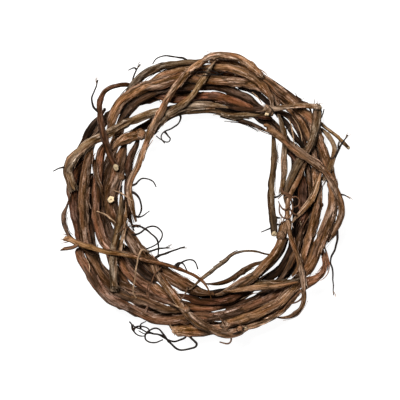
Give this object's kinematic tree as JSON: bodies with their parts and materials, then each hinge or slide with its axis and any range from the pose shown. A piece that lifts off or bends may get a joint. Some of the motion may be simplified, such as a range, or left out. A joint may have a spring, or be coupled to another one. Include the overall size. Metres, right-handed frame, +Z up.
{
  "type": "vine wreath",
  "caption": "Woven wreath of dried brown vine stems with curly tendrils, lying flat on its back round a wide open middle.",
  "frame": {"origin": "centre of the wreath's box, on the surface it lies on", "axes": "+Z up out of the wreath's front; +Y towards the top of the picture, +X towards its right"},
  "size_m": [0.2964, 0.299, 0.0476],
  "materials": {
    "hoop_outer": "dry fibrous bark, matt",
    "hoop_inner": "dry fibrous bark, matt",
    "arch_cane": "dry fibrous bark, matt",
    "drop_cane": "dry fibrous bark, matt",
    "crown_cane": "dry fibrous bark, matt",
    "ridge_cane": "dry fibrous bark, matt",
    "thick_nw": "dry fibrous bark, matt",
    "hook_nw": "dry fibrous bark, matt",
    "red_top": "dry fibrous bark, matt",
    "shade_top": "dry fibrous bark, matt",
    "knot_cane": "dry fibrous bark, matt",
    "rim_top": "dry fibrous bark, matt",
    "rim_ne": "dry fibrous bark, matt",
    "red_ne": "dry fibrous bark, matt",
    "light_ne": "dry fibrous bark, matt",
    "corner_ne": "dry fibrous bark, matt",
    "long_ne": "dry fibrous bark, matt",
    "edge_ne": "dry fibrous bark, matt",
    "mid_ne": "dry fibrous bark, matt",
    "sweep_ne": "dry fibrous bark, matt",
    "hook_ne": "dry fibrous bark, matt",
    "twig_ne": "dry fibrous bark, matt",
    "inner_rod_long": "dry fibrous bark, matt",
    "inner_rod_short": "dry fibrous bark, matt",
    "slant_e": "dry fibrous bark, matt",
    "red_e": "dry fibrous bark, matt",
    "fibre_e": "dry fibrous bark, matt",
    "shade_e": "dry fibrous bark, matt",
    "swing_se": "dry fibrous bark, matt",
    "frayed_se": "dry fibrous bark, matt",
    "pair_se_a": "dry fibrous bark, matt",
    "pair_se_b": "dry fibrous bark, matt",
    "orange_se": "dry fibrous bark, matt",
    "inner_se": "dry fibrous bark, matt",
    "inner_arch": "dry fibrous bark, matt",
    "thick_s": "dry fibrous bark, matt",
    "long_s": "dry fibrous bark, matt",
    "outer_s": "dry fibrous bark, matt",
    "cross_s": "dry fibrous bark, matt",
    "dark_s": "dry fibrous bark, matt",
    "outer_w": "dry fibrous bark, matt",
    "second_w": "dry fibrous bark, matt",
    "hook_w": "dry fibrous bark, matt",
    "golden_twig": "dry fibrous bark, matt",
    "plum_w": "dry fibrous bark, matt",
    "light_w": "dry fibrous bark, matt",
    "dark_w": "dry fibrous bark, matt",
    "thick_w": "dry fibrous bark, matt",
    "rose_w": "dry fibrous bark, matt",
    "stump_nw": "dry fibrous bark, matt",
    "slant_w": "dry fibrous bark, matt",
    "slant_w_thin": "dry fibrous bark, matt",
    "fibre_w": "dry fibrous bark, matt",
    "sw_core": "dry fibrous bark, matt",
    "shade_s": "dry fibrous bark, matt",
    "core_se": "dry fibrous bark, matt",
    "core_s": "dry fibrous bark, matt",
    "core_n": "dry fibrous bark, matt",
    "edge_nw": "dry fibrous bark, matt",
    "dark_ne": "dry fibrous bark, matt"
  },
  "bodies": {
    "root": {"hoop_outer": "hoop_outer", "hoop_inner": "hoop_inner", "arch_cane": "arch_cane", "drop_cane": "drop_cane", "crown_cane": "crown_cane", "ridge_cane": "ridge_cane", "thick_nw": "thick_nw", "hook_nw": "hook_nw", "red_top": "red_top", "shade_top": "shade_top", "knot_cane": "knot_cane", "rim_top": "rim_top", "rim_ne": "rim_ne", "red_ne": "red_ne", "light_ne": "light_ne", "corner_ne": "corner_ne", "long_ne": "long_ne", "edge_ne": "edge_ne", "mid_ne": "mid_ne", "sweep_ne": "sweep_ne", "hook_ne": "hook_ne", "twig_ne": "twig_ne", "inner_rod_long": "inner_rod_long", "inner_rod_short": "inner_rod_short", "slant_e": "slant_e", "red_e": "red_e", "fibre_e": "fibre_e", "shade_e": "shade_e", "swing_se": "swing_se", "frayed_se": "frayed_se", "pair_se_a": "pair_se_a", "pair_se_b": "pair_se_b", "orange_se": "orange_se", "inner_se": "inner_se", "inner_arch": "inner_arch", "thick_s": "thick_s", "long_s": "long_s", "outer_s": "outer_s", "cross_s": "cross_s", "dark_s": "dark_s", "outer_w": "outer_w", "second_w": "second_w", "hook_w": "hook_w", "golden_twig": "golden_twig", "plum_w": "plum_w", "light_w": "light_w", "dark_w": "dark_w", "thick_w": "thick_w", "rose_w": "rose_w", "stump_nw": "stump_nw", "slant_w": "slant_w", "slant_w_thin": "slant_w_thin", "fibre_w": "fibre_w", "sw_core": "sw_core", "shade_s": "shade_s", "core_se": "core_se", "core_s": "core_s", "core_n": "core_n", "edge_nw": "edge_nw", "dark_ne": "dark_ne"}
  },
  "joints": []
}
